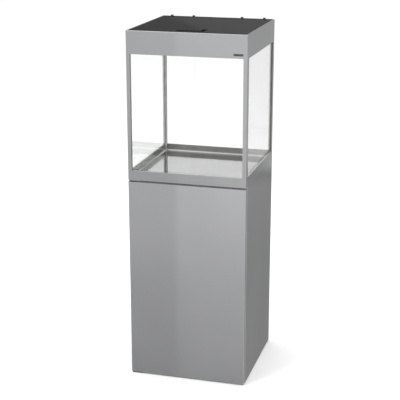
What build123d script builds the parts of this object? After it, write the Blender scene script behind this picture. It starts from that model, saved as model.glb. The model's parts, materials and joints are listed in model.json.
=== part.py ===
from build123d import *

import os

# Cube aquarium with hood and lid on a closed cabinet. Millimetres, +Z up, front towards -Y.
# The origin is on the floor, at the centre of the square footprint.

# ---- driving dimensions ----
WIDTH = 500.0  # footprint, both ways
CABINET_H = 870.0
TANK_H = 615.0  # tank with its hood
SKIRT_H = 40.0  # rails round the tank's foot
HOOD_H = 94.0  # bands round the hood
PROFILE_T = 6.0  # wall of the rails, posts and bands
BOARD_T = 18.0  # cabinet panels
GLASS_T = 6.0
CORNER_R = 3.0  # rounding of the upright outer edges
RIM_R = 2.5  # rounding of the hood's top edge
RUNNING = 0.05  # radial clearance of a turning or sliding fit
FOOT_H = 4.0

HALF = WIDTH / 2
INNER = HALF - PROFILE_T  # inner faces of rails, posts and bands
TOP = CABINET_H + TANK_H
HOOD_Z = TOP - HOOD_H
SKIRT_TOP = CABINET_H + SKIRT_H

# ---- cabinet ----
SIDE_IN = HALF - BOARD_T
CARCASS_FRONT = -HALF + BOARD_T + 3.0  # the door shuts 3 mm in front of it
DOOR_HALF = HALF - 0.5
DOOR_BACK = -HALF + BOARD_T
DOOR_Z = (FOOT_H + 2.5, CABINET_H - 8.0)
DOOR_EDGE_R = 2.0
DOOR_HEEL_R = 4.0  # inner corner beside the pivot, which swings past the carcass
SHELF_Z = 430.0
SHELF_Y = (-205.0, SIDE_IN - 2.0)
SHELF_PLAY = 1.0
PEG_R = 2.5
PEG_Y = (-150.0, 170.0)
PEG_REACH = 9.0
CAM_R = 7.5
CAM_DEPTH = 12.5
CAM_INSET = 24.0  # cam centre to the joint
CAM_BOLT_R = 3.0
CAM_BOLT_BITE = 11.0  # bolt length in the side panel
CAM_BOLT_LAP = 2.0  # how far the bolt reaches into the cam's circle before it is trimmed to it
CAM_Y = (-150.0, 0.0, 150.0)
CAM_BACK_Z = (200.0, 660.0)
GLIDE_R = 8.0
GLIDE_CHAMFER = 0.8
GLIDE_AT = (241.0, (-165.0, 30.0, 225.0))
HOSE_AT = (150.0, 775.0)
HOSE_R = 25.0
HOSE_WALL = 5.0
HOSE_FLANGE = (34.0, 3.0)  # radius, thickness

# ---- door pivots and latch ----
PIVOT = (-240.5, -241.0)
PIVOT_PLATE = (-247.0, -200.0, -248.0, -190.0)  # x0, x1, y0, y1
PIVOT_PLATE_T = 3.0
PIVOT_PIN_R = 4.0
PIVOT_PIN_L = 17.0
BUSH_R = 6.0
BUSH_L = 14.0
BUSH_FLANGE_R = 8.0
BUSH_FLANGE_T = 2.4
PIVOT_SCREWS = ((-241.0, -207.0), (-216.0, -221.0), (-216.0, -201.0))
SCREW_R = 1.6
SCREW_HEAD_R = 3.2
SCREW_HEAD_T = 1.2
PIVOT_SCREW_L = 16.0
PIVOT_PIN_DROP = 3.0  # extra length of the upper pin
PIVOT_PLATE_R = 3.0
LATCH_X = 215.0
LATCH_Z = CABINET_H - BOARD_T - 7.0
LATCH_HALF = 7.0
LATCH_Y = (-224.0, -160.0)
PLUNGER_R = 4.0
PLUNGER_Y = (-230.2, -192.0)
PLUNGER_BORE_END = -185.0
LATCH_SCREW_Y = (-178.0, -168.0)
LATCH_SCREW_L = 24.0
LATCH_CHAMFER = 2.0
PLUNGER_NOSE_R = 1.5
STRIKE = (20.0, 14.0, 1.0)  # width, height, thickness
BUMPER = (4.0, 2.4)  # radius, thickness
BUMPER_AT = (240.0, (60.0, 820.0))

# ---- tank ----
LIP_T = 3.0  # lip under the glass, and the foam inside it
LIP_IN = 228.0
PLATE_T = 2.0  # reflective plate under the bottom pane
PLATE_HALF = 237.0
BED = 0.3  # silicone bed between the glass and what it touches
FOAM_PLAY = 1.0
GLASS_OUT = INNER - BED
GLASS_IN = GLASS_OUT - GLASS_T
BOTTOM_Z = CABINET_H + LIP_T + PLATE_T + BED
FLOOR_Z = BOTTOM_Z + GLASS_T
GLASS_TOP = CABINET_H + 570.0
GAP = 0.1
POST_FRONT = 16.5  # leg of the corner angles on the front and back
POST_SIDE = 26.0  # leg of the corner angles on the sides
SEAM = 5.0
SEAM_SAG = 3.2  # from the corner to the middle of the concave face, along each leg
BRACE_W = 45.0
BRACE_Z = GLASS_TOP - 20.0

# ---- hood ----
FRAME_HALF = INNER - GAP
FRAME_FOOT_T = 6.0
FRAME_FOOT_IN = 225.0
FRAME_WALL_IN = 241.5
FRAME_LIP_IN = 236.0
FRAME_LIP_T = 5.5
LID_T = 4.0
LID_TOP = TOP - 1.0
LID_Z = LID_TOP - LID_T
LID_PLAY = 0.8
LID_HALF = INNER - LID_PLAY
LID_REAR = 236.5
RAIL_FRONT = 238.0
RAIL_Z = TOP - 13.0
RAIL_CHAMFER = 1.0
RAIL_PLAY = 3.0  # room for the rail in the inner frame
FRAME_TOP = LID_Z - 0.5
BADGE = (42.0, 10.0, 1.0)  # width, height, depth of its pocket
BADGE_SUNK = 0.4  # the plate's face lies this far behind the band's
BADGE_AT = (213.0, CABINET_H + 535.5)
BADGE_R = 1.5

# ---- lid ----
HINGE_X = (-206.0, -108.0, 108.0, 206.0)
HINGE_Y = HALF - 5.5
HINGE_Z = TOP + 0.5
KNUCKLE_R = 5.0
KNUCKLE_W = 5.0
KNUCKLE_GAP = 0.3
EAR_PLAY = 0.5  # beside the lid's ear in the rail's notch
HINGE_PIN_R = 1.5
NOTCH_Z = HINGE_Z - KNUCKLE_R - 0.6
LID_CORNER_R = 1.5
LID_CHAMFER = 0.6
RIB_T = 3.0
RIB_Z = LID_Z - 4.0
RIB_HALF = 228.0
RIB_X = (-150.0, 150.0)
TRAY = (-63.5, 63.5, -204.0, -129.0)  # outside of the sunk tray: x0, x1, y0, y1
TRAY_WALL = 1.5
TRAY_Z = LID_TOP - 12.0
TRAY_R = 3.0
TRAY_FLANGE = (3.0, 2.0)  # width and thickness of the flange under the lid
DIVIDER = (34.5, 36.5)  # wall between the flap and the grip well
DIVIDER_Y = -168.0
FEED_HOLE = (-52.0, 26.0, -168.0, -140.0)
FLAP_LEDGE = (2.0, 1.5)  # width, thickness
FLAP_FRONT = -173.0
FLAP_SIDE_GAP = 0.8
FLAP_T = 3.0
FLAP_CHAMFER = 0.4
FLAP_AXIS = (-132.5, LID_TOP - 1.6)  # y, z
FLAP_HEEL = 1.2  # behind the axis
FLAP_PIN_R = 0.8
FLAP_PIN_SUNK = 0.3  # the pin's left end lies this far inside the tray's wall

# ---- lamps ----
BAR_X = (-170.0, 170.0)
BAR_W = 20.0
BAR_T = 3.0
BAR_HALF = 240.0
LAMP_Y = (-90.0, 90.0)
LAMP_R = 11.0
LAMP_WALL = 1.2
LAMP_HALF = 190.0
LAMP_CAP = (12.0, 14.0)  # radius, length
LAMP_CAP_SOCKET = 6.0
CLIP_WALL = 1.5
CLIP_W = 12.0
CLIP_FOOT_HALF = 7.0
CLIP_MOUTH = 5.0  # the clip is open above this height over the lamp's axis
BAR_Z = GLASS_TOP + FRAME_FOOT_T
BAR_SCREW_END = GLASS_TOP + 1.0
LAMP_Z = BAR_Z + BAR_T + CLIP_WALL + LAMP_R
LAMP_CAP_R = 1.5  # rounding of the caps' outer ends
BOARD = (16.0, 1.6)  # LED board: width, thickness
BOARD_HALF = LAMP_HALF - 4.0
LEAD_R = 1.8
LEAD_BEND = 9.0
LEAD_ENDS = 4.0  # the leads enter the inlet this far left and right of its axis
FRONT_LEAD = (-222.0, 214.0)  # the corner it turns at, left of the lamps and before the inlet
REAR_LEAD = (-214.5, 200.0)
INLET_X = -150.0
PORT_X = 150.0
PORT_Z = 1459.0
INLET_R = 8.0
INLET_FLANGE = 2.0
INLET_Y = 232.0
JACK_R = 2.75
JACK_L = 9.0
PORT_R = 9.0
PORT_WALL = 3.0
PORT_IN = (238.5, 240.5)  # inner end of the ports, outer face of the inlet's flange
HOOD_SCREW_AT = (-150.0, 0.0, 150.0)
REAR_SCREW_AT = (-60.0, 60.0)
HOOD_SCREW_Z = 1459.0
HOOD_SCREW_HEAD = (239.5, 241.5)  # the heads' ends, from the middle
HOOD_SCREW_END = HALF - 2.0
RAIL_SCREW_X = (-175.0, 0.0, 175.0)
RAIL_SCREW_Y = HALF - 4.0
RAIL_SCREW_L = 23.0

os.makedirs("parts", exist_ok=True)


# ---- helpers ----
def slab(x0, x1, y0, y1, z0, z1):
    """A box between two corners."""
    return Pos((x0 + x1) / 2, (y0 + y1) / 2, (z0 + z1) / 2) * Box(x1 - x0, y1 - y0, z1 - z0)


def block(half, z0, z1):
    """A square box centred on the footprint."""
    return slab(-half, half, -half, half, z0, z1)


def rod_x(x0, x1, y, z, r):
    return Pos((x0 + x1) / 2, y, z) * Rot(0, 90, 0) * Cylinder(r, x1 - x0)


def rod_y(x, y0, y1, z, r):
    return Pos(x, (y0 + y1) / 2, z) * Rot(90, 0, 0) * Cylinder(r, y1 - y0)


def rod_z(x, y, z0, z1, r):
    return Pos(x, y, (z0 + z1) / 2) * Cylinder(r, z1 - z0)


def rounded_block(z0, z1):
    """The outer prism of the tank, with its upright edges rounded."""
    body = block(HALF, z0, z1)
    return fillet(body.edges().filter_by(Axis.Z), CORNER_R)


def wedge(turns, z0, z1):
    """A quarter of the plan between the diagonals: 0 is the front, 1 the right, 2 the back, 3 the left."""
    far = 2 * HALF
    face = make_face(Polyline((0, 0), (-far, -far), (far, -far), close=True))
    return Rot(0, 0, 90 * turns) * Pos(0, 0, z0) * extrude(face, z1 - z0)


def flip_x(shape):
    return mirror(shape, Plane.YZ)


def flip_y(shape):
    return mirror(shape, Plane.XZ)


def group(shapes):
    return Compound(children=[solid for shape in shapes for solid in shape.solids()])


def put(node, shape):
    solids = shape.solids()
    export_step(solids[0] if len(solids) == 1 else group([shape]), f"parts/{node}.step")


def cut(body, *tools):
    for tool in tools:
        body = body - tool
    return body


# ---- cabinet fasteners ----
def cam_places():
    """Cam position, the joint's side (-1 left, 1 right) and the direction the cam's disc is pressed in."""
    top, bottom, back = CABINET_H - BOARD_T, FOOT_H + BOARD_T, SIDE_IN
    places = []
    for side in (-1, 1):
        x = side * (SIDE_IN - CAM_INSET)
        places += [(x, y, top, side, "up") for y in CAM_Y]
        places += [(x, y, bottom, side, "down") for y in CAM_Y]
        places += [(x, back, z, side, "rear") for z in CAM_BACK_Z]
    return places


def cam_lock(x, y, z, side, way):
    if way == "up":
        return rod_z(x, y, z, z + CAM_DEPTH, CAM_R)
    if way == "down":
        return rod_z(x, y, z - CAM_DEPTH, z, CAM_R)
    return rod_y(x, y, y + CAM_DEPTH, z, CAM_R)


def cam_bolt(x, y, z, side, way):
    mid = BOARD_T / 2
    centre = {"up": (y, z + mid), "down": (y, z - mid), "rear": (y + mid, z)}[way]
    near, far = abs(x) + CAM_R - CAM_BOLT_LAP, SIDE_IN + CAM_BOLT_BITE
    bolt = rod_x(near, far, *centre, CAM_BOLT_R)
    return bolt if side > 0 else flip_x(bolt)


def cam_set():
    locks = [cam_lock(*place) for place in cam_places()]
    bolts = [cam_bolt(*place) for place in cam_places()]
    return locks, [cut(bolt, lock) for bolt, lock in zip(bolts, locks)]


def pegs():
    """Shelf pegs: half of each sits in a side panel."""
    z = SHELF_Z - PEG_R
    right = [rod_x(SIDE_IN - PEG_REACH, SIDE_IN + PEG_REACH, y, z, PEG_R) for y in PEG_Y]
    return right + [flip_x(peg) for peg in right]


def pivot_plates():
    x0, x1, y0, y1 = PIVOT_PLATE
    low = slab(x0, x1, y0, y1, FOOT_H - PIVOT_PLATE_T, FOOT_H)
    high = slab(x0, x1, y0, y1, CABINET_H - PIVOT_PLATE_T, CABINET_H)
    return [fillet(plate.edges().filter_by(Axis.Z), PIVOT_PLATE_R) for plate in (low, high)]


def pivot_pins():
    low_z, high_z = FOOT_H - PIVOT_PLATE_T, CABINET_H
    low = rod_z(*PIVOT, low_z, low_z + PIVOT_PIN_L, PIVOT_PIN_R)
    high = rod_z(*PIVOT, high_z - PIVOT_PIN_L - PIVOT_PIN_DROP, high_z, PIVOT_PIN_R)
    return [low, high]


def wood_screw(x, y, z, way, length):
    """A flat-headed screw driven along Z: way is 1 upwards and -1 downwards, z is the head's outer face."""
    head = rod_z(x, y, *sorted((z, z + way * SCREW_HEAD_T)), SCREW_HEAD_R)
    return head + rod_z(x, y, *sorted((z, z + way * length)), SCREW_R)


def pivot_screws():
    low = [wood_screw(x, y, FOOT_H - PIVOT_PLATE_T, 1, PIVOT_SCREW_L) for x, y in PIVOT_SCREWS]
    high = [wood_screw(x, y, CABINET_H, -1, PIVOT_SCREW_L) for x, y in PIVOT_SCREWS]
    return low + high


def latch_screws():
    return [wood_screw(LATCH_X, y, LATCH_Z - LATCH_HALF, 1, LATCH_SCREW_L) for y in LATCH_SCREW_Y]


# ---- cabinet ----
def carcass():
    locks, bolts = cam_set()
    plates = pivot_plates()
    screws = pivot_screws() + latch_screws()
    put("cam_locks", group(locks))
    put("cam_bolts", group(bolts))
    put("shelf_pins", group(pegs()))
    right = slab(SIDE_IN, HALF, CARCASS_FRONT, HALF, FOOT_H, CABINET_H)
    right = fillet(right.edges().filter_by(Axis.Z).group_by(Axis.X)[-1], DOOR_EDGE_R)
    put("side_panel_right", cut(right, *bolts, *pegs()))
    put("side_panel_left", cut(flip_x(right), *bolts, *pegs(), *plates, *screws))
    top = slab(-SIDE_IN, SIDE_IN, CARCASS_FRONT, HALF, CABINET_H - BOARD_T, CABINET_H)
    put("top_panel", cut(top, *bolts, *locks, *plates, *screws))
    bottom = slab(-SIDE_IN, SIDE_IN, CARCASS_FRONT, SIDE_IN, FOOT_H, FOOT_H + BOARD_T)
    put("bottom_panel", cut(bottom, *bolts, *locks, *screws))
    back = slab(-SIDE_IN, SIDE_IN, SIDE_IN, HALF, FOOT_H, CABINET_H - BOARD_T)
    hose_hole = rod_y(HOSE_AT[0], SIDE_IN, HALF, HOSE_AT[1], HOSE_R + HOSE_WALL)
    put("back_panel", cut(back, *bolts, *locks, hose_hole))
    shelf_half = SIDE_IN - SHELF_PLAY
    put("shelf", slab(-shelf_half, shelf_half, *SHELF_Y, SHELF_Z, SHELF_Z + BOARD_T))


def hose_port():
    x, z = HOSE_AT
    ring = rod_y(x, SIDE_IN, HALF, z, HOSE_R + HOSE_WALL)
    ring = ring + rod_y(x, SIDE_IN - HOSE_FLANGE[1], SIDE_IN, z, HOSE_FLANGE[0])
    put("hose_port_ring", ring - rod_y(x, SIDE_IN - HOSE_FLANGE[1], HALF, z, HOSE_R))


def glides():
    x, ys = GLIDE_AT
    discs = [rod_z(side * x, y, 0, FOOT_H, GLIDE_R) for side in (-1, 1) for y in ys]
    put("foot_glides", group(chamfer(disc.edges().group_by(Axis.Z)[0], GLIDE_CHAMFER) for disc in discs))


def door_bushes():
    low = rod_z(*PIVOT, DOOR_Z[0], DOOR_Z[0] + BUSH_L, BUSH_R)
    low = low + rod_z(*PIVOT, DOOR_Z[0] - BUSH_FLANGE_T, DOOR_Z[0], BUSH_FLANGE_R)
    high = rod_z(*PIVOT, DOOR_Z[1] - BUSH_L, DOOR_Z[1], BUSH_R)
    high = high + rod_z(*PIVOT, DOOR_Z[1], DOOR_Z[1] + BUSH_FLANGE_T, BUSH_FLANGE_R)
    bore = rod_z(*PIVOT, 0, CABINET_H, PIVOT_PIN_R + RUNNING)
    return [low - bore, high - bore]


def door():
    panel = slab(-DOOR_HALF, DOOR_HALF, -HALF, DOOR_BACK, *DOOR_Z)
    upright = panel.edges().filter_by(Axis.Z)
    panel = fillet(upright.group_by(Axis.Y)[0], DOOR_EDGE_R)
    heel = panel.edges().filter_by(Axis.Z).group_by(Axis.Y)[-1].sort_by(Axis.X)[0]
    panel = fillet(heel, DOOR_HEEL_R)
    sockets = [
        rod_z(*PIVOT, DOOR_Z[0], DOOR_Z[0] + BUSH_L, BUSH_R),
        rod_z(*PIVOT, DOOR_Z[1] - BUSH_L, DOOR_Z[1], BUSH_R),
    ]
    put("door_panel", cut(panel, *sockets))
    put("door_bushes", group(door_bushes()))
    wide, high, thick = STRIKE
    put("strike_plate", Pos(LATCH_X, DOOR_BACK + thick / 2, LATCH_Z) * Box(wide, thick, high))
    x, zs = BUMPER_AT
    put("door_bumpers", group(rod_y(x, DOOR_BACK, DOOR_BACK + BUMPER[1], z, BUMPER[0]) for z in zs))


def pivots():
    pins = pivot_pins()
    screws = pivot_screws()
    for name, plate in zip(("pivot_plate_bottom", "pivot_plate_top"), pivot_plates()):
        put(name, cut(plate, *pins, *screws))
    put("pivot_pins", group(pins))


def latch():
    x0, x1 = LATCH_X - LATCH_HALF, LATCH_X + LATCH_HALF
    housing = slab(x0, x1, *LATCH_Y, LATCH_Z - LATCH_HALF, LATCH_Z + LATCH_HALF)
    housing = chamfer(housing.edges().filter_by(Axis.Y).group_by(Axis.Z)[0], LATCH_CHAMFER)
    bore = rod_y(LATCH_X, LATCH_Y[0], PLUNGER_BORE_END, LATCH_Z, PLUNGER_R + RUNNING)
    put("latch_housing", cut(housing, bore, *latch_screws()))
    put("pivot_and_latch_screws", group(pivot_screws() + latch_screws()))
    plunger = rod_y(LATCH_X, *PLUNGER_Y, LATCH_Z, PLUNGER_R)
    put("latch_plunger", fillet(plunger.edges().group_by(Axis.Y)[0], PLUNGER_NOSE_R))


# ---- tank ----
def base_rails():
    """Four mitred rails with a lip under the glass."""
    ring = rounded_block(CABINET_H, SKIRT_TOP) - block(INNER, CABINET_H + LIP_T, SKIRT_TOP)
    ring = ring - block(LIP_IN, CABINET_H, CABINET_H + LIP_T)
    for turns, side in enumerate(("front", "right", "back", "left")):
        put(f"base_rail_{side}", ring & wedge(turns, CABINET_H, SKIRT_TOP))


def underlay():
    lip_top = CABINET_H + LIP_T
    put("foam_mat", block(LIP_IN - FOAM_PLAY, CABINET_H, lip_top))
    put("reflective_base_plate", block(PLATE_HALF, lip_top, lip_top + PLATE_T))


def glass():
    low = CABINET_H + LIP_T + BED
    put("glass_bottom", block(GLASS_IN - BED, BOTTOM_Z, FLOOR_Z))
    front = slab(-GLASS_OUT, GLASS_OUT, -GLASS_OUT, -GLASS_IN, low, GLASS_TOP)
    left = slab(-GLASS_OUT, -GLASS_IN, -GLASS_IN + BED, GLASS_IN - BED, low, GLASS_TOP)
    put("glass_front", front)
    put("glass_back", flip_y(front))
    put("glass_left", left)
    put("glass_right", flip_x(left))
    inner = GLASS_IN - BED
    length = GLASS_IN - SEAM - BED
    brace = slab(-inner, -inner + BRACE_W, -length, length, BRACE_Z, BRACE_Z + GLASS_T)
    put("glass_braces", group([brace, flip_x(brace)]))


def seam_face(at, leg_x, leg_y):
    """The concave section of a bead in a corner, with its legs along the two walls."""
    x, y = at
    middle = (x + leg_x * (1 - SEAM_SAG / SEAM), y + leg_y * (1 - SEAM_SAG / SEAM))
    arc = ThreePointArc((x + leg_x, y), middle, (x, y + leg_y))
    return make_face(Line(at, (x + leg_x, y)) + arc + Line((x, y + leg_y), at))


def silicone():
    """Beads in the four upright corners and round the floor."""
    reach, floor_z = GLASS_IN - GAP, FLOOR_Z + GAP
    low, high = floor_z + SEAM + GAP, BRACE_Z - GAP
    corner = seam_face((-reach, -reach), SEAM, SEAM)
    upright = Pos(0, 0, low) * extrude(corner, high - low)
    lying = Plane.YZ * seam_face((-reach, floor_z), SEAM, SEAM)
    bead = Pos(-reach, 0, 0) * extrude(lying, 2 * reach, dir=(1, 0, 0))
    bead = bead & wedge(0, FLOOR_Z, FLOOR_Z + 2 * SEAM)
    beads = [Rot(0, 0, turn) * piece for turn in (0, 90, 180, 270) for piece in (upright, bead)]
    put("silicone_seams", group(beads))


def corner_posts():
    """Aluminium angles on the four upright edges, each a wall of the outer prism."""
    shell = rounded_block(SKIRT_TOP, HOOD_Z) - block(INNER, SKIRT_TOP, HOOD_Z)
    leg_x, leg_y = HALF - POST_FRONT, HALF - POST_SIDE
    shell = shell - slab(-leg_x, leg_x, -HALF, HALF, SKIRT_TOP, HOOD_Z)
    shell = shell - slab(-HALF, HALF, -leg_y, leg_y, SKIRT_TOP, HOOD_Z)
    for row, y in (("front", -1), ("back", 1)):
        for column, x in (("left", -1), ("right", 1)):
            spans = sorted((0, x * HALF)) + sorted((0, y * HALF))
            put(f"corner_post_{row}_{column}", shell & slab(*spans, SKIRT_TOP, HOOD_Z))


# ---- hood ----
def hood_screws():
    """Screws through the inner frame into the bands, heads inside."""
    right = []
    for at in HOOD_SCREW_AT:
        head = rod_x(*HOOD_SCREW_HEAD, at, HOOD_SCREW_Z, SCREW_HEAD_R)
        right.append(head + rod_x(HOOD_SCREW_HEAD[0], HOOD_SCREW_END, at, HOOD_SCREW_Z, SCREW_R))
    front = [Rot(0, 0, -90) * screw for screw in right]
    rear = []
    for at in REAR_SCREW_AT:
        head = rod_y(at, *HOOD_SCREW_HEAD, HOOD_SCREW_Z, SCREW_HEAD_R)
        rear.append(head + rod_y(at, HOOD_SCREW_HEAD[0], HOOD_SCREW_END, HOOD_SCREW_Z, SCREW_R))
    return right + [flip_x(screw) for screw in right] + front + rear


def rail_screws():
    return [wood_screw(x, RAIL_SCREW_Y, TOP, -1, RAIL_SCREW_L) for x in RAIL_SCREW_X]


def rear_ports():
    """The cylinders that the lamp inlet and the rubber port take out of the hood's back."""
    return [
        rod_y(INLET_X, PORT_IN[1], HALF, PORT_Z, INLET_R),
        rod_y(PORT_X, PORT_IN[1], HALF, PORT_Z, PORT_R + PORT_WALL),
    ]


def badge(face_y):
    """The badge's outline from face_y to the bottom of its pocket."""
    x, z = BADGE_AT
    wide, high, deep = BADGE
    plate = slab(x - wide / 2, x + wide / 2, face_y, -HALF + deep, z - high / 2, z + high / 2)
    return fillet(plate.edges().filter_by(Axis.Y), BADGE_R)


def hood_bands():
    outer = rounded_block(HOOD_Z, TOP)
    outer = fillet(outer.edges().group_by(Axis.Z)[-1], RIM_R)
    shell = outer - block(INNER, HOOD_Z, TOP)
    front_zone = wedge(0, HOOD_Z, TOP)
    put("hood_band_front", cut(shell & front_zone, badge(-HALF), *hood_screws()))
    put("badge_plate", badge(-HALF + BADGE_SUNK))
    right = (shell & slab(INNER, HALF, -HALF, HALF, HOOD_Z, TOP)) - front_zone
    put("hood_band_right", cut(right, *hood_screws()))
    put("hood_band_left", cut(flip_x(right), *hood_screws()))
    back = slab(-INNER, INNER, INNER, HALF, HOOD_Z, RAIL_Z)
    put("hood_band_back", cut(back, *hood_screws(), *rail_screws(), *rear_ports()))


def hood_inner_frame():
    """Black frame inside the bands: a foot on the glass, a wall, and a lip under the lid."""
    foot_top = GLASS_TOP + FRAME_FOOT_T
    lip_z = FRAME_TOP - FRAME_LIP_T
    ring = block(FRAME_HALF, GLASS_TOP, FRAME_TOP)
    ring = ring - block(FRAME_FOOT_IN, GLASS_TOP, foot_top)
    ring = ring - block(FRAME_WALL_IN, foot_top, lip_z)
    ring = ring - block(FRAME_LIP_IN, lip_z, FRAME_TOP)
    ring = ring - slab(-HALF, HALF, RAIL_FRONT - RAIL_PLAY, HALF, RAIL_Z, TOP)
    put("hood_inner_frame", cut(ring, *hood_screws(), *bar_screws(), *rear_ports()))
    put("hood_screws", group(hood_screws() + rail_screws() + bar_screws()))


def hinge_spans(x):
    """The fixed lug's and the lid ear's extent along X. The lug is on the side away from the middle."""
    outward = 1 if x > 0 else -1
    lug = sorted((x + outward * KNUCKLE_GAP / 2, x + outward * KNUCKLE_W))
    ear = sorted((x - outward * KNUCKLE_GAP / 2, x - outward * KNUCKLE_W))
    return lug, ear


def hinge_rail():
    rail = slab(-FRAME_HALF, FRAME_HALF, RAIL_FRONT, HALF, RAIL_Z, TOP)
    rail = chamfer(rail.edges().filter_by(Axis.X).group_by(Axis.Z)[-1].sort_by(Axis.Y)[-1], RAIL_CHAMFER)
    for x in HINGE_X:
        (lug0, lug1), (ear0, ear1) = hinge_spans(x)
        rail = rail - slab(ear0 - EAR_PLAY, ear1 + EAR_PLAY, RAIL_FRONT, HALF, NOTCH_Z, TOP)
        rail = rail + slab(lug0, lug1, HINGE_Y - KNUCKLE_R, HINGE_Y + KNUCKLE_R, RAIL_Z + 1, HINGE_Z)
        rail = rail + rod_x(lug0, lug1, HINGE_Y, HINGE_Z, KNUCKLE_R)
    put("rear_hinge_rail", cut(rail, *hinge_pins(), *rail_screws()))
    put("lid_hinge_pins", group(hinge_pins()))


def hinge_pins():
    return [rod_x(x - KNUCKLE_W, x + KNUCKLE_W, HINGE_Y, HINGE_Z, HINGE_PIN_R) for x in HINGE_X]


def lamp_inlet():
    """Socket for the lamps' supply plug, flush with the hood's back."""
    body = rod_y(INLET_X, INLET_Y, HALF, PORT_Z, INLET_R)
    flange = rod_y(INLET_X, *PORT_IN, PORT_Z, INLET_R + INLET_FLANGE)
    put("lamp_inlet", body + flange - rod_y(INLET_X, HALF - JACK_L, HALF, PORT_Z, JACK_R))


def hood_cable_port():
    """Rubber grommet for the heater and pump cables."""
    sleeve = rod_y(PORT_X, PORT_IN[0], HALF, PORT_Z, PORT_R + PORT_WALL)
    put("cable_grommet", sleeve - rod_y(PORT_X, PORT_IN[0], HALF, PORT_Z, PORT_R))


# ---- lid ----
def tray_block(z0, z1, grow=0.0):
    x0, x1, y0, y1 = TRAY
    body = slab(x0 - grow, x1 + grow, y0 - grow, y1 + grow, z0, z1)
    return fillet(body.edges().filter_by(Axis.Z), TRAY_R + grow)


def lid():
    panel = slab(-LID_HALF, LID_HALF, -LID_HALF, LID_REAR, LID_Z, LID_TOP)
    panel = fillet(panel.edges().filter_by(Axis.Z), LID_CORNER_R)
    panel = chamfer(panel.edges().group_by(Axis.Z)[-1], LID_CHAMFER)
    for x in RIB_X:
        panel = panel + slab(x - RIB_T / 2, x + RIB_T / 2, -RIB_HALF, RIB_HALF, RIB_Z, LID_Z)
    for x in HINGE_X:
        _, (ear0, ear1) = hinge_spans(x)
        panel = panel + slab(ear0, ear1, LID_REAR - 1, HINGE_Y, HINGE_Z - KNUCKLE_R, LID_TOP)
        panel = panel + rod_x(ear0, ear1, HINGE_Y, HINGE_Z, KNUCKLE_R)
    reach = 2 * KNUCKLE_W
    bores = [rod_x(x - reach, x + reach, HINGE_Y, HINGE_Z, HINGE_PIN_R + RUNNING) for x in HINGE_X]
    put("lid_panel", cut(panel, tray_block(LID_Z, LID_TOP), *bores))


def flap_space():
    """Left and right limits of the space that the flap lies in."""
    return TRAY[0] + TRAY_WALL, DIVIDER[0]


def hatch_tray():
    """Sunk tray in the lid. The flap covers its back left, and fingers reach in at its front and right."""
    wide, thick = TRAY_FLANGE
    tray = tray_block(TRAY_Z, LID_TOP) + tray_block(LID_Z - thick, LID_Z, wide)
    x0, x1, y0, y1 = TRAY
    wall = TRAY_WALL
    hollow = slab(x0 + wall, x1 - wall, y0 + wall, y1 - wall, TRAY_Z + wall, LID_TOP)
    tray = tray - fillet(hollow.edges().filter_by(Axis.Z), TRAY_R - wall)
    tray = tray + slab(*DIVIDER, DIVIDER_Y, y1 - TRAY_WALL, TRAY_Z, LID_TOP)
    left, right = flap_space()
    top = LID_TOP - FLAP_T - GAP
    ledge, ledge_t = FLAP_LEDGE
    tray = tray + slab(left, left + ledge, DIVIDER_Y, FEED_HOLE[3], top - ledge_t, top)
    tray = tray + slab(right - ledge, right, DIVIDER_Y, FEED_HOLE[3], top - ledge_t, top)
    tray = tray + slab(left - GAP, DIVIDER[1], DIVIDER_Y - wall, DIVIDER_Y, TRAY_Z, top)
    put("hatch_tray", cut(tray, slab(*FEED_HOLE, TRAY_Z, TRAY_Z + TRAY_WALL), flap_pin()))


def flap_pin():
    return rod_x(TRAY[0] + FLAP_PIN_SUNK, DIVIDER[1], *FLAP_AXIS, FLAP_PIN_R)


def feeding_flap():
    left, right = flap_space()
    x0, x1 = left + FLAP_SIDE_GAP, right - FLAP_SIDE_GAP
    flap = slab(x0, x1, FLAP_FRONT, FLAP_AXIS[0] + FLAP_HEEL, LID_TOP - FLAP_T, LID_TOP)
    flap = chamfer(flap.edges().group_by(Axis.Z)[-1], FLAP_CHAMFER)
    put("feeding_flap", flap - rod_x(x0, x1, *FLAP_AXIS, FLAP_PIN_R + RUNNING))
    put("flap_pin", flap_pin())


# ---- lamps ----
def bar_screws():
    """Screws that hold the lamp bars on the foot of the inner frame."""
    at = (FRAME_FOOT_IN + FRAME_WALL_IN) / 2
    screws = []
    for x in BAR_X:
        for y in (-at, at):
            head = rod_z(x, y, BAR_Z + BAR_T, BAR_Z + BAR_T + SCREW_HEAD_T, SCREW_HEAD_R)
            screws.append(head + rod_z(x, y, BAR_SCREW_END, BAR_Z + BAR_T, SCREW_R))
    return screws


def lamp_bars():
    bars = [slab(x - BAR_W / 2, x + BAR_W / 2, -BAR_HALF, BAR_HALF, BAR_Z, BAR_Z + BAR_T) for x in BAR_X]
    put("lamp_bars", group(cut(bar, *bar_screws()) for bar in bars))


def lamp_clips():
    """C-shaped clips, open at the top."""
    clips = []
    for x in BAR_X:
        for y in LAMP_Y:
            ring = rod_x(x - CLIP_W / 2, x + CLIP_W / 2, y, LAMP_Z, LAMP_R + CLIP_WALL)
            near, far = y - CLIP_FOOT_HALF, y + CLIP_FOOT_HALF
            foot = slab(x - CLIP_W / 2, x + CLIP_W / 2, near, far, BAR_Z + BAR_T, LAMP_Z)
            clip = ring + foot - rod_x(x - CLIP_W, x + CLIP_W, y, LAMP_Z, LAMP_R)
            reach = 2 * LAMP_R
            mouth = slab(x - CLIP_W, x + CLIP_W, y - reach, y + reach, LAMP_Z + CLIP_MOUTH, LAMP_Z + reach)
            clips.append(clip - mouth)
    put("lamp_clips", group(clips))


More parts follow.
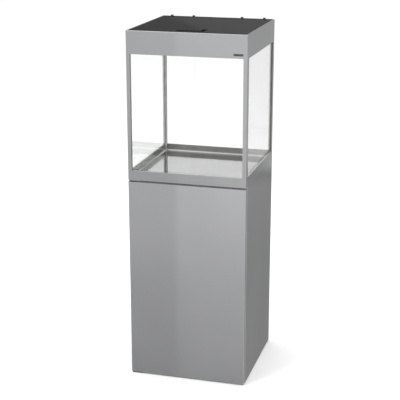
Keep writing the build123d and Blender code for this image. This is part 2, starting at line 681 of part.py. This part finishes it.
def lamps():
    tubes, boards, caps = [], [], []
    board_z = LAMP_Z - BOARD[1] / 2
    cap_r, cap_l = LAMP_CAP
    for y in LAMP_Y:
        tube = rod_x(-LAMP_HALF, LAMP_HALF, y, LAMP_Z, LAMP_R)
        tubes.append(tube - rod_x(-LAMP_HALF, LAMP_HALF, y, LAMP_Z, LAMP_R - LAMP_WALL))
        near, far = y - BOARD[0] / 2, y + BOARD[0] / 2
        boards.append(slab(-BOARD_HALF, BOARD_HALF, near, far, board_z, board_z + BOARD[1]))
        start = LAMP_HALF - LAMP_CAP_SOCKET
        cap = rod_x(start, start + cap_l, y, LAMP_Z, cap_r)
        cap = cap - rod_x(start, LAMP_HALF, y, LAMP_Z, LAMP_R)
        cap = fillet(cap.edges().filter_by(GeomType.CIRCLE).group_by(Axis.X)[-1], LAMP_CAP_R)
        caps += [cap, flip_x(cap)]
    put("lamp_tubes", group(tubes))
    put("led_boards", group(boards))
    put("lamp_end_caps", group(caps))


def lead(points):
    path = FilletPolyline(*points, radius=LEAD_BEND)
    section = Plane(origin=path @ 0, z_dir=path % 0) * Circle(LEAD_R)
    return sweep(section, path=path)


def lamp_leads():
    """Leads from the left end caps to the inlet, inside the hood."""
    start = -(LAMP_HALF - LAMP_CAP_SOCKET + LAMP_CAP[1])
    leads = []
    ends = (INLET_X - LEAD_ENDS, INLET_X + LEAD_ENDS)
    for lamp_y, (x, y), end in zip(LAMP_Y, (FRONT_LEAD, REAR_LEAD), ends):
        corners = [(start, lamp_y), (x, lamp_y), (x, y), (end, y), (end, INLET_Y)]
        leads.append(lead([(*corner, LAMP_Z) for corner in corners]))
    put("lamp_leads", group(leads))


carcass()
hose_port()
glides()
door()
pivots()
latch()
base_rails()
underlay()
glass()
silicone()
corner_posts()
hood_bands()
hood_inner_frame()
hinge_rail()
lamp_inlet()
hood_cable_port()
lid()
hatch_tray()
feeding_flap()
lamp_bars()
lamp_clips()
lamps()
lamp_leads()
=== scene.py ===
import json
import math

import bmesh
import bpy
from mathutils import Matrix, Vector

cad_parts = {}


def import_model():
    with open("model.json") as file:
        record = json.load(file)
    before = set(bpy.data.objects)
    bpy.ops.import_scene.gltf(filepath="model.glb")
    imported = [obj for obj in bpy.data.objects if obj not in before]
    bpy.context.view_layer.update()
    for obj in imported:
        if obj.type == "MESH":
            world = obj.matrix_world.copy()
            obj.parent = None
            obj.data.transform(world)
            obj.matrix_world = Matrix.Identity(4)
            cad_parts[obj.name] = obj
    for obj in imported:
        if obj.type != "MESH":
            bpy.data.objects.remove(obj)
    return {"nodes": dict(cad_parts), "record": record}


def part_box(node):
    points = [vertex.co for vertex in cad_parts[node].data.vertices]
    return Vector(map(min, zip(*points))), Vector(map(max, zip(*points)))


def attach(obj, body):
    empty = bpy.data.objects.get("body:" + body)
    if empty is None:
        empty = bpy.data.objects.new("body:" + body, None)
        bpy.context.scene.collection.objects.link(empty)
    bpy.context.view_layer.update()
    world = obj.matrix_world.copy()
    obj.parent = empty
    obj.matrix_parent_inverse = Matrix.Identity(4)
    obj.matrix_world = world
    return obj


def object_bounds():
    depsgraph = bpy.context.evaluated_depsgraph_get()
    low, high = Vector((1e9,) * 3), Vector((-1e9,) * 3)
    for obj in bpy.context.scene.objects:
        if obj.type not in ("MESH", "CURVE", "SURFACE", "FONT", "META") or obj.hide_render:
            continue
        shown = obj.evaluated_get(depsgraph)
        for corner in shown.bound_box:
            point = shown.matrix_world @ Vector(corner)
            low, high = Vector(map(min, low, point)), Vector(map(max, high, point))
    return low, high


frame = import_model()
cad_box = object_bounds()
nodes = frame["nodes"]
scene = bpy.context.scene

MM = 0.001

# ---- view ----
EYE = Vector((1.21, -4.37, 2.08))
FILL = 0.93  # share of the picture's height that the object takes
SENSOR = 36.0
AIM_ROUNDS = 4  # enough for the aim to settle

# ---- studio ----
# Angles are in degrees, heights are sines of elevations, and strengths are shares of plain white.
FLOOR_HALF = 40.0
DOME_RADIUS = 38.0
ROOM_LIGHT = 1.75  # strength of the plain room overhead
OVERHEAD = (0.45, 0.6)  # heights between which it takes over
HORIZON = (-0.06, 0.02)  # heights between which the low room turns into the high room
SIDES = (0.6, 0.95)  # |x| / |y| between which the front and the back turn into the sides
BANK = (0.29, 0.41)  # heights between which the front and the sides brighten
FRONT_FLAG = 16.9  # a tall flag stands in front on the left, from this angle off -Y
FRONT_FLAG_SHADE, FRONT_FLAG_EDGE = 0.5, 0.004  # what it leaves of the light, and how soft its edge is
FRONT_FLOOR = ((-0.15, 1.65), (-0.46, 0.25))  # height and strength where its fall starts and ends
FRONT_FAR = ((-0.02, 0.75), (-0.13, 1.0))  # the same for the dimmer strip at the horizon
BACK_FLAG = ((17.2, 7.05), (15.65, 7.7))  # two points of the leaning flag behind: angle off +Y, elevation
BACK_FLAG_SHADE, BACK_FLAG_EDGE = 0.62, 0.001
WALL_TONE = 0.145
WALL_TOP = (9.6, 11.6)  # the dark wall behind fades into the sky between these elevations
BACK_SKY = ((0.242, 0.9), (0.27, 0.62))
PALE_BAND = (-12.9, -14.8)  # elevations of the top and the foot of a pale strip on the floor behind
BAND_TONES = (0.55, 0.66, 0.28)  # over the strip, in it and under it
BAND_EDGE, BAND_FADE = 0.006, 0.02
FRONT_HIGH = (0.8, 1.0)  # strengths under and over the bank
SIDE_HIGH = (0.3, 0.75)
SIDE_FLOOR = ((-0.05, 1.0), (-0.5, 0.75))
TURN = 0.1  # |y| within which the front turns into the back


# ---- node helpers ----
class Build:
    """Adds and links nodes in one tree."""

    def __init__(self, tree):
        self.tree = tree

    def add(self, kind, **settings):
        node = self.tree.nodes.new(kind)
        for name, value in settings.items():
            setattr(node, name, value)
        return node

    def link(self, source, target):
        self.tree.links.new(source, target)

    def put(self, socket, value):
        if isinstance(value, bpy.types.NodeSocket):
            self.link(value, socket)
        else:
            socket.default_value = value

    def math(self, operation, a, b=0.0):
        node = self.add("ShaderNodeMath", operation=operation)
        self.put(node.inputs[0], a)
        self.put(node.inputs[1], b)
        return node.outputs[0]

    def span(self, value, start, end, low, high, smooth=False):
        node = self.add("ShaderNodeMapRange", interpolation_type="SMOOTHSTEP" if smooth else "LINEAR")
        limits = {"Value": value, "From Min": start, "From Max": end, "To Min": low, "To Max": high}
        for name, number in limits.items():
            self.put(node.inputs[name], number)
        return node.outputs[0]

    def slope(self, value, start, end):
        """A straight run between two (value, result) points, level beyond them."""
        return self.span(value, start[0], end[0], start[1], end[1])

    def mix(self, share, a, b):
        node = self.add("ShaderNodeMix", data_type="FLOAT")
        self.put(node.inputs[0], share)
        self.put(node.inputs[2], a)
        self.put(node.inputs[3], b)
        return node.outputs[0]

    def mix_colour(self, share, a, b):
        node = self.add("ShaderNodeMix", data_type="RGBA")
        self.put(node.inputs[0], share)
        self.put(node.inputs[6], a)
        self.put(node.inputs[7], b)
        return node.outputs[2]

    def noise(self, scale, detail, stretch=(1, 1, 1), rough=0.5):
        """Noise in the object's own metres."""
        coord = self.add("ShaderNodeTexCoord")
        mapping = self.add("ShaderNodeMapping")
        mapping.inputs["Scale"].default_value = stretch
        node = self.add("ShaderNodeTexNoise")
        self.link(coord.outputs["Object"], mapping.inputs["Vector"])
        self.link(mapping.outputs["Vector"], node.inputs["Vector"])
        node.inputs["Scale"].default_value = scale
        node.inputs["Detail"].default_value = detail
        node.inputs["Roughness"].default_value = rough
        return node.outputs[0]

    def bump(self, height, distance, strength):
        node = self.add("ShaderNodeBump")
        node.inputs["Strength"].default_value = strength
        node.inputs["Distance"].default_value = distance
        self.link(height, node.inputs["Height"])
        return node.outputs[0]


def grey(value, tint=(1.0, 1.0, 1.0)):
    return (value * tint[0], value * tint[1], value * tint[2], 1.0)


def material(name, **values):
    """A Principled material, its plain values set on the shader's own sockets."""
    mat = bpy.data.materials.new(name)
    mat.use_nodes = True
    shader = mat.node_tree.nodes["Principled BSDF"]
    for key, value in values.items():
        shader.inputs[key.replace("_", " ")].default_value = value
    return mat, Build(mat.node_tree), shader


# ---- materials ----
COOL = (0.99, 1.0, 1.02)
WARM = (1.0, 1.0, 0.985)
FLAKE = 0.02  # share of the silver's tone that its flakes vary


def silver(name, low, high, roughness, coat):
    """Silver-grey metallic paint under clear lacquer: flakes, faint clouding and orange peel."""
    mat, b, shader = material(name, Metallic=0.9, Coat_Weight=coat, Coat_Roughness=0.01, Coat_IOR=2.1)
    cloud = b.span(b.noise(3.0, 1.0), 0.3, 0.7, 0.0, 1.0, smooth=True)
    sparkle = b.span(b.noise(2600.0, 1.0), 0.3, 0.7, 0.0, 1.0)
    share = b.mix(FLAKE, cloud, sparkle)
    b.link(b.mix_colour(share, grey(low, COOL), grey(high, COOL)), shader.inputs["Base Color"])
    spread = b.span(b.noise(4.0, 1.0), 0.2, 0.8, roughness - 0.01, roughness + 0.01)
    b.link(spread, shader.inputs["Roughness"])
    b.link(b.bump(b.noise(70.0, 1.0), 0.000004, 0.5), shader.inputs["Normal"])
    return mat


def black_gloss():
    """Moulded lid: deep black with a faint texture, dust haze and hairline rub marks."""
    mat, b, shader = material("black_gloss", Coat_Weight=0.6, Coat_Roughness=0.03)
    dust = b.span(b.noise(9.0, 4.0, rough=0.55), 0.4, 0.75, 0.0, 1.0)
    b.link(b.mix_colour(dust, grey(0.009), grey(0.012)), shader.inputs["Base Color"])
    rub = b.noise(24.0, 3.0, stretch=(1, 6, 1))
    b.link(b.span(rub, 0.3, 0.7, 0.06, 0.09), shader.inputs["Roughness"])
    b.link(b.bump(b.noise(40.0, 1.0), 0.000004, 0.2), shader.inputs["Normal"])
    return mat


def black_satin():
    mat, b, shader = material("black_satin")
    patch = b.span(b.noise(20.0, 4.0), 0.35, 0.65, 0.0, 1.0)
    b.link(b.mix_colour(patch, grey(0.014), grey(0.022)), shader.inputs["Base Color"])
    b.link(b.span(b.noise(60.0, 2.0), 0.3, 0.7, 0.38, 0.5), shader.inputs["Roughness"])
    b.link(b.bump(b.noise(1600.0, 2.0), 0.00003, 0.5), shader.inputs["Normal"])
    return mat


def rubber():
    mat, b, shader = material("black_rubber", Specular_IOR_Level=0.35)
    b.link(b.mix_colour(b.noise(40.0, 3.0), grey(0.012), grey(0.03)), shader.inputs["Base Color"])
    b.link(b.span(b.noise(90.0, 2.0), 0.3, 0.7, 0.6, 0.75), shader.inputs["Roughness"])
    b.link(b.bump(b.noise(1200.0, 2.0), 0.00004, 0.5), shader.inputs["Normal"])
    return mat


def foam():
    mat, b, shader = material("grey_foam", Roughness=0.95)
    b.link(b.mix_colour(b.noise(500.0, 3.0), grey(0.04), grey(0.09)), shader.inputs["Base Color"])
    b.link(b.bump(b.noise(700.0, 3.0), 0.0003, 0.8), shader.inputs["Normal"])
    return mat


def glass():
    """Thin float glass. Lamps shine through it, so that the tank isn't dark inside."""
    tint = (0.985, 0.99, 0.986, 1.0)
    plain = {"Transmission_Weight": 1.0, "Roughness": 0.0, "IOR": 1.45, "Base_Color": tint}
    mat, b, shader = material("float_glass", **plain)
    path = b.add("ShaderNodeLightPath")
    clear = b.add("ShaderNodeBsdfTransparent")
    clear.inputs["Color"].default_value = tint
    pick = b.add("ShaderNodeMixShader")
    out = mat.node_tree.nodes["Material Output"]
    b.link(path.outputs["Is Shadow Ray"], pick.inputs[0])
    b.link(shader.outputs[0], pick.inputs[1])
    b.link(clear.outputs[0], pick.inputs[2])
    b.link(pick.outputs[0], out.inputs["Surface"])
    return mat


def mirror_plate():
    """Grey mirror sheet with the faint unevenness that plastic mirrors have."""
    mat, b, shader = material("mirror_plate", Metallic=1.0)
    haze = b.span(b.noise(7.0, 2.0), 0.5, 0.56, 0.0, 1.0, smooth=True)
    b.link(b.mix_colour(haze, grey(0.28, WARM), grey(0.36, WARM)), shader.inputs["Base Color"])
    b.link(b.span(b.noise(16.0, 3.0), 0.35, 0.7, 0.01, 0.035), shader.inputs["Roughness"])
    b.link(b.bump(b.noise(9.0, 1.0), 0.0002, 0.06), shader.inputs["Normal"])
    return mat


def silicone():
    mat, b, shader = material("clear_silicone", Transmission_Weight=0.35, IOR=1.41)
    b.link(b.mix_colour(b.noise(35.0, 3.0), grey(0.72), grey(0.82)), shader.inputs["Base Color"])
    b.link(b.span(b.noise(120.0, 2.0), 0.3, 0.7, 0.28, 0.42), shader.inputs["Roughness"])
    b.link(b.bump(b.noise(160.0, 2.0), 0.0002, 0.35), shader.inputs["Normal"])
    return mat


def steel():
    mat, b, shader = material("zinc_steel", Metallic=1.0)
    b.link(b.mix_colour(b.noise(80.0, 4.0), grey(0.42), grey(0.6)), shader.inputs["Base Color"])
    b.link(b.span(b.noise(300.0, 3.0), 0.3, 0.7, 0.28, 0.45), shader.inputs["Roughness"])
    b.link(b.bump(b.noise(900.0, 2.0), 0.00003, 0.5), shader.inputs["Normal"])
    return mat


def badge_metal():
    """Bright metal brushed along its length."""
    mat, b, shader = material("badge_metal", Metallic=1.0)
    brushed = b.noise(500.0, 3.0, stretch=(0.05, 1, 1))
    b.link(b.mix_colour(brushed, grey(0.30), grey(0.42)), shader.inputs["Base Color"])
    b.link(b.span(brushed, 0.3, 0.7, 0.2, 0.34), shader.inputs["Roughness"])
    b.link(b.bump(brushed, 0.00003, 0.6), shader.inputs["Normal"])
    return mat


def tube_plastic():
    mat, b, shader = material("lamp_tube_clear", Transmission_Weight=0.85, IOR=1.49)
    b.link(b.mix_colour(b.noise(12.0, 2.0), grey(0.9), grey(0.97)), shader.inputs["Base Color"])
    b.link(b.span(b.noise(40.0, 2.0), 0.3, 0.7, 0.1, 0.18), shader.inputs["Roughness"])
    return mat


def board_white():
    """White solder mask with faint copper lines under it."""
    mat, b, shader = material("led_board_white", Roughness=0.4)
    lines = b.span(b.noise(60.0, 1.0, stretch=(0.15, 3, 1)), 0.48, 0.52, 0.0, 1.0)
    b.link(b.mix_colour(lines, grey(0.78), grey(0.7, (1.0, 0.98, 0.92))), shader.inputs["Base Color"])
    b.link(b.bump(lines, 0.00003, 0.5), shader.inputs["Normal"])
    return mat


def led_yellow():
    mat, b, shader = material("led_phosphor", Roughness=0.35)
    yellow = b.mix_colour(b.noise(2500.0, 1.0), (0.85, 0.72, 0.2, 1), (0.95, 0.86, 0.42, 1))
    b.link(yellow, shader.inputs["Base Color"])
    return mat


def bumper_clear():
    mat, b, shader = material("clear_bumper", Transmission_Weight=0.7, IOR=1.45)
    b.link(b.mix_colour(b.noise(90.0, 2.0), grey(0.75), grey(0.88)), shader.inputs["Base Color"])
    b.link(b.span(b.noise(200.0, 2.0), 0.3, 0.7, 0.2, 0.35), shader.inputs["Roughness"])
    return mat


def melamine():
    """Plain pale grey facing on the cabinet's inner faces, with a fine pearl texture."""
    mat, b, shader = material("melamine", Specular_IOR_Level=0.4)
    b.link(b.mix_colour(b.noise(6.0, 2.0), grey(0.42), grey(0.46)), shader.inputs["Base Color"])
    b.link(b.span(b.noise(80.0, 2.0), 0.3, 0.7, 0.42, 0.5), shader.inputs["Roughness"])
    b.link(b.bump(b.noise(1400.0, 1.0), 0.00002, 0.3), shader.inputs["Normal"])
    return mat


def painted_shade_film():
    """Painted shade: a dull, darker warm grey between a pane and the frame, standing in for the shade on
    the silver there.
    """
    mat, b, shader = material("painted_shade_film", Metallic=0.5)
    taupe = b.mix_colour(b.noise(18.0, 3.0), (0.17, 0.16, 0.145, 1), (0.22, 0.208, 0.19, 1))
    b.link(taupe, shader.inputs["Base Color"])
    b.link(b.span(b.noise(70.0, 2.0), 0.3, 0.7, 0.42, 0.52), shader.inputs["Roughness"])
    return mat


def glass_edge():
    """The cut and ground edge of float glass, green from the light that travels along the pane."""
    mat, b, shader = material("glass_edge", Transmission_Weight=0.6, IOR=1.5)
    green = b.mix_colour(b.noise(60.0, 3.0), (0.56, 0.74, 0.68, 1), (0.66, 0.82, 0.77, 1))
    b.link(green, shader.inputs["Base Color"])
    b.link(b.span(b.noise(400.0, 2.0), 0.3, 0.7, 0.25, 0.4), shader.inputs["Roughness"])
    return mat


SLOT_LOOKS = {
    "silver_lacquer_board": silver("silver_lacquer", 0.51, 0.55, 0.30, 1.0),
    "silver_anodised": silver("silver_frame", 0.44, 0.48, 0.31, 0.5),
    "clear_glass": glass(),
    "reflective_plate": mirror_plate(),
    "black_gloss": black_gloss(),
    "black_satin": black_satin(),
    "clear_silicone": silicone(),
    "black_rubber": rubber(),
    "grey_foam": foam(),
    "steel": steel(),
    "badge_metal": badge_metal(),
    "lamp_tube_clear": tube_plastic(),
    "led_board": board_white(),
    "clear_bumper": bumper_clear(),
}


# Shares of a face's normal that tell which way it is turned.
CUT_EDGE = 0.5  # a face with less than this across the pane is a cut edge
INWARD = 0.6
OUTWARD = 0.3


def dress_cad_nodes():
    for part in frame["record"]["subparts"]:
        look = SLOT_LOOKS[part["material_slot"]]
        data = nodes[part["node"]].data
        data.materials.clear()
        data.materials.append(look)


def dress_glass_edges():
    """The narrow faces of each pane get the look of cut glass. The braces are thin in z."""
    look = glass_edge()
    for part in frame["record"]["subparts"]:
        if part["material_slot"] != "clear_glass":
            continue
        low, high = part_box(part["node"])
        size = high - low
        thin = 2 if part["node"] == "glass_braces" else min(range(3), key=lambda axis: size[axis])
        data = nodes[part["node"]].data
        data.materials.append(look)
        for face in data.polygons:
            if abs(face.normal[thin]) < CUT_EDGE:
                face.material_index = 1


def dress_inner_faces():
    """The faces of the frame that the panes are bonded to get painted shade: a dull, darker finish."""
    look = painted_shade_film()
    for name, obj in nodes.items():
        if not name.startswith(("base_rail", "corner_post")):
            continue
        obj.data.materials.append(look)
        for face in obj.data.polygons:
            inward = -Vector((face.center.x, face.center.y, 0.0)).normalized()
            if face.normal.dot(inward) > INWARD:
                face.material_index = 1


def dress_cabinet_inside():
    """The cabinet's inner faces and the door's back are faced with melamine."""
    look = melamine()
    left, right = Vector((-1, 0, 0)), Vector((1, 0, 0))
    front, back = Vector((0, -1, 0)), Vector((0, 1, 0))
    down, up = Vector((0, 0, -1)), Vector((0, 0, 1))
    outside = {
        "side_panel_left": (left, front),
        "side_panel_right": (right, front),
        "back_panel": (back,),
        "door_panel": (front, left, right, up, down),
        "top_panel": (front, up, back),
        "bottom_panel": (front,),
        "shelf": (front,),
    }
    for name, lacquered in outside.items():
        data = nodes[name].data
        data.materials.append(look)
        for face in data.polygons:
            if all(face.normal.dot(way) < OUTWARD for way in lacquered):
                face.material_index = 1


# ---- small pieces ----
def piece(name, make, body, look):
    """A new mesh piece that rides on a body and has its finish in a slot."""
    bm = bmesh.new()
    make(bm)
    mesh = bpy.data.meshes.new(name)
    bm.to_mesh(mesh)
    bm.free()
    mesh.materials.append(look)
    obj = bpy.data.objects.new(name, mesh)
    scene.collection.objects.link(obj)
    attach(obj, body)


def add_block(bm, centre, size, bevel=0.0):
    """A small block, its edges softened if a bevel is given."""
    made = bmesh.ops.create_cube(bm, size=1.0)
    for vert in made["verts"]:
        vert.co = Vector([centre[i] + vert.co[i] * size[i] for i in range(3)])
    if bevel:
        edges = list({edge for vert in made["verts"] for edge in vert.link_edges})
        bmesh.ops.bevel(bm, geom=edges, offset=bevel, segments=2, affect="EDGES", profile=0.6)


def badge_waves():
    """Three plain wavy lines of dark enamel on the badge, their tops level with the hood's face."""
    low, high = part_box("badge_plate")
    back, face = low.y, cad_box[0].y + 0.02 * MM
    steps, rows, waves = 64, 3, 4
    width, swing, margin = 2.0 * MM, 0.6 * MM, 1.5 * MM
    left, right = low.x + margin, high.x - margin

    def make(bm):
        for row in range(rows):
            middle = low.z + (high.z - low.z) * (row + 1) / (rows + 1)
            rings = []
            for step in range(steps + 1):
                share = step / steps
                x = left + (right - left) * share
                z = middle + swing * math.sin(share * math.tau * waves)
                half = width / 2 * min(1.0, 8 * min(share, 1 - share) + 0.25)  # thinner at both ends
                outline = ((-half, back), (-half, face), (half, face), (half, back))
                rings.append([bm.verts.new((x, y, z + dz)) for dz, y in outline])
            for a, b in zip(rings, rings[1:]):
                for i in range(4):
                    bm.faces.new((a[i], b[i], b[(i + 1) % 4], a[(i + 1) % 4]))
            bm.faces.new(rings[0])
            bm.faces.new(reversed(rings[-1]))
        bmesh.ops.recalc_face_normals(bm, faces=bm.faces)

    piece("badge_waves", make, "stand_and_tank", SLOT_LOOKS["black_satin"])


def led_chips():
    """Rows of yellow chips under the two lamp boards, facing the water."""
    low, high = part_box("led_boards")
    count, edge, thick = 30, 3.2 * MM, 0.8 * MM
    pitch = (high.x - low.x) / count
    depth = 16 * MM  # of one board

    def make(bm):
        for y in (low.y + depth / 2, high.y - depth / 2):
            for k in range(count):
                x = low.x + pitch * (k + 0.5)
                add_block(bm, (x, y, low.z - thick / 2), (edge, edge, thick), 0.2 * MM)

    piece("led_chips", make, "stand_and_tank", led_yellow())


def painted_recess_shade():
    """Painted shade: thin black crosses laid on the visible heads of the rail screws and the lamp bars'
    screws, standing in for the shade in their cross recesses.
    """
    rail_x, rail_y, rail_h = (-175, 0, 175), 246, 13
    bar_x, bar_y, head_h = (-170, 170), (-233.25, 233.25), 1.2
    rail_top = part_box("rear_hinge_rail")[0].z + rail_h * MM
    bar_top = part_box("lamp_bars")[1].z + head_h * MM
    heads = [(x * MM, rail_y * MM, rail_top) for x in rail_x]
    heads += [(x * MM, y * MM, bar_top) for x in bar_x for y in bar_y]
    long_side, short_side, proud = 3.6 * MM, 0.8 * MM, 0.04 * MM

    def make(bm):
        for head in heads:
            add_block(bm, head, (long_side, short_side, proud))
            add_block(bm, head, (short_side, long_side, proud))

    piece("painted_recess_shade", make, "stand_and_tank", SLOT_LOOKS["black_satin"])


def flap_grip_lines():
    """Fine grip lines across the front of the feeding flap."""
    low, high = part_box("feeding_flap")
    inset, start, count = 30 * MM, 2.6 * MM, 4
    left, right = low.x + inset, high.x - inset
    line, proud, pitch = 0.7 * MM, 0.3 * MM, 1.8 * MM

    def make(bm):
        for k in range(count):
            y = low.y + (start + pitch * k)
            add_block(bm, ((left + right) / 2, y, high.z), (right - left, line, 2 * proud), 0.15 * MM)

    piece("flap_grip_lines", make, "flap", SLOT_LOOKS["black_gloss"])


# ---- studio ----
def floor():
    mesh = bpy.data.meshes.new("floor")
    corners = [(-1, -1), (1, -1), (1, 1), (-1, 1)]
    mesh.from_pydata([(x * FLOOR_HALF, y * FLOOR_HALF, 0.0) for x, y in corners], [], [(0, 1, 2, 3)])
    obj = bpy.data.objects.new("floor", mesh)
    scene.collection.objects.link(obj)
    mat, b, shader = material("pale_floor", Roughness=0.9, Specular_IOR_Level=0.0)
    b.link(b.mix_colour(b.noise(3.0, 3.0), grey(0.85), grey(0.87)), shader.inputs["Base Color"])
    mesh.materials.append(mat)
    obj.visible_glossy = False
    obj.visible_shadow = False


def backdrop():
    """A plain white dome that only the eye sees, straight or through glass."""
    bm = bmesh.new()
    bmesh.ops.create_uvsphere(bm, u_segments=48, v_segments=24, radius=DOME_RADIUS)
    mesh = bpy.data.meshes.new("backdrop")
    bm.to_mesh(mesh)
    bm.free()
    mat = bpy.data.materials.new("backdrop_white")
    mat.use_nodes = True
    mat.cycles.emission_sampling = "NONE"
    b = Build(mat.node_tree)
    b.tree.nodes.clear()
    light = b.add("ShaderNodeEmission")
    b.link(light.outputs[0], b.add("ShaderNodeOutputMaterial").inputs["Surface"])
    mesh.materials.append(mat)
    obj = bpy.data.objects.new("backdrop", mesh)
    scene.collection.objects.link(obj)
    obj.visible_diffuse = False
    obj.visible_glossy = False
    obj.visible_shadow = False


def direction(turn, rise):
    """The direction at an angle off +Y towards -X, and an elevation, in degrees."""
    turn, rise = math.radians(turn), math.radians(rise)
    return Vector((-math.sin(turn) * math.cos(rise), math.cos(turn) * math.cos(rise), math.sin(rise)))


def front_floor(b, x, y, z):
    """In front, below the horizon: bright, darker straight down and beyond the flag's edge."""
    beside = b.math("SUBTRACT", x, b.math("MULTIPLY", y, math.tan(math.radians(FRONT_FLAG))))
    flag = b.span(beside, -FRONT_FLAG_EDGE, FRONT_FLAG_EDGE, FRONT_FLAG_SHADE, 1.0)
    light = b.math("MULTIPLY", b.slope(z, *FRONT_FLOOR), flag)
    return b.math("MULTIPLY", b.slope(z, *FRONT_FAR), light)


def back_floor(b, z):
    """Behind, below the horizon: three tones, the middle one a narrow pale band."""
    high, low = (math.sin(math.radians(rise)) for rise in PALE_BAND)
    over_tone, band_tone, under_tone = BAND_TONES
    over = b.span(z, high - BAND_EDGE, high + BAND_EDGE, 0.0, over_tone)
    under = b.span(z, low - BAND_FADE, low + BAND_EDGE, under_tone, 0.0)
    below_top = b.span(z, high - BAND_EDGE, high + BAND_EDGE, 1.0, 0.0)
    above_foot = b.span(z, low - BAND_EDGE, low + BAND_EDGE, 0.0, band_tone)
    band = b.math("MULTIPLY", below_top, above_foot)
    return b.math("ADD", b.math("ADD", over, under), band)


def back_wall(b, ray, z):
    """Behind, above the horizon: a dark wall with a leaning flag on it, and a paler sky over it."""
    lean = b.add("ShaderNodeVectorMath", operation="DOT_PRODUCT")
    b.link(ray, lean.inputs[0])
    lean.inputs[1].default_value = direction(*BACK_FLAG[0]).cross(direction(*BACK_FLAG[1])).normalized()
    flag = b.span(lean.outputs["Value"], -BACK_FLAG_EDGE, BACK_FLAG_EDGE, BACK_FLAG_SHADE, 1.0)
    wall, sky = (math.sin(math.radians(rise)) for rise in WALL_TOP)
    tone = b.math("MULTIPLY", WALL_TONE, flag)
    return b.mix(b.span(z, wall, sky, 0.0, 1.0, smooth=True), tone, b.slope(z, *BACK_SKY))


def world():
    """One soft room for every ray: a flag in front, a dark wall behind, plain light overhead.

    The surfaces mirror it. Where the eye would see it, the backdrop stands in front of it.
    """
    made = bpy.data.worlds.new("studio")
    scene.world = made
    made.use_nodes = True
    b = Build(made.node_tree)
    b.tree.nodes.clear()
    ray = b.add("ShaderNodeTexCoord").outputs["Generated"]
    axes = b.add("ShaderNodeSeparateXYZ")
    b.link(ray, axes.inputs[0])
    x, y, z = axes.outputs
    behind = b.span(y, -TURN, TURN, 0.0, 1.0)
    aside = b.math("DIVIDE", b.math("ABSOLUTE", x), b.math("MAXIMUM", b.math("ABSOLUTE", y), 0.01))
    aside = b.span(aside, *SIDES, 0.0, 1.0, smooth=True)

    front_high = b.span(z, *BANK, *FRONT_HIGH, smooth=True)
    side_high = b.span(z, *BANK, *SIDE_HIGH, smooth=True)
    low_ends = b.mix(behind, front_floor(b, x, y, z), back_floor(b, z))
    high_ends = b.mix(behind, front_high, back_wall(b, ray, z))
    low_room = b.mix(aside, low_ends, b.slope(z, *SIDE_FLOOR))
    high_room = b.mix(aside, high_ends, side_high)
    room = b.mix(b.span(z, *HORIZON, 0.0, 1.0, smooth=True), low_room, high_room)
    strength = b.mix(b.span(z, *OVERHEAD, 0.0, 1.0, smooth=True), room, ROOM_LIGHT)
    background = b.add("ShaderNodeBackground")
    b.link(strength, background.inputs["Strength"])
    b.link(background.outputs[0], b.add("ShaderNodeOutputWorld").inputs["Surface"])


def lamp(name, place, aim, size, watts):
    data = bpy.data.lights.new(name, "AREA")
    data.shape = "DISK"
    data.size = size
    data.energy = watts
    obj = bpy.data.objects.new(name, data)
    scene.collection.objects.link(obj)
    obj.location = place
    obj.rotation_mode = "QUATERNION"
    obj.rotation_quaternion = (Vector(aim) - Vector(place)).to_track_quat("-Z", "Y")
    obj.visible_glossy = False
    obj.visible_transmission = False


def lights():
    lamp("key", (-2.6, -3.6, 4.2), (0, 0, 0.9), 2.4, 170)
    lamp("top", (0.3, 0.5, 4.6), (0, 0, 0.8), 2.0, 60)


# ---- camera ----
def camera():
    """Aims at the object and picks the lens by the projected corners of its box."""
    data = bpy.data.cameras.new("camera")
    data.sensor_width = SENSOR
    data.dof.use_dof = False
    obj = bpy.data.objects.new("camera", data)
    scene.collection.objects.link(obj)
    scene.camera = obj
    low, high = cad_box
    corners = [Vector((x, y, z)) for x in (low.x, high.x) for y in (low.y, high.y) for z in (low.z, high.z)]
    aim = (low + high) / 2
    for _ in range(AIM_ROUNDS):
        turn = (aim - EYE).to_track_quat("-Z", "Y")
        seen = [turn.inverted() @ (corner - EYE) for corner in corners]
        across = [p.x / -p.z for p in seen]
        upright = [p.y / -p.z for p in seen]
        middle = Vector(((min(across) + max(across)) / 2, (min(upright) + max(upright)) / 2, -1.0))
        aim = EYE + turn @ middle
    data.lens = FILL * SENSOR / (max(upright) - min(upright))
    obj.location = EYE
    obj.rotation_mode = "QUATERNION"
    obj.rotation_quaternion = turn
    scene.view_settings.view_transform = "Standard"


dress_cad_nodes()
dress_glass_edges()
dress_inner_faces()
dress_cabinet_inside()
badge_waves()
led_chips()
# painted shade in the screws' cross recesses
painted_recess_shade()
flap_grip_lines()
floor()
backdrop()
world()
lights()
camera()
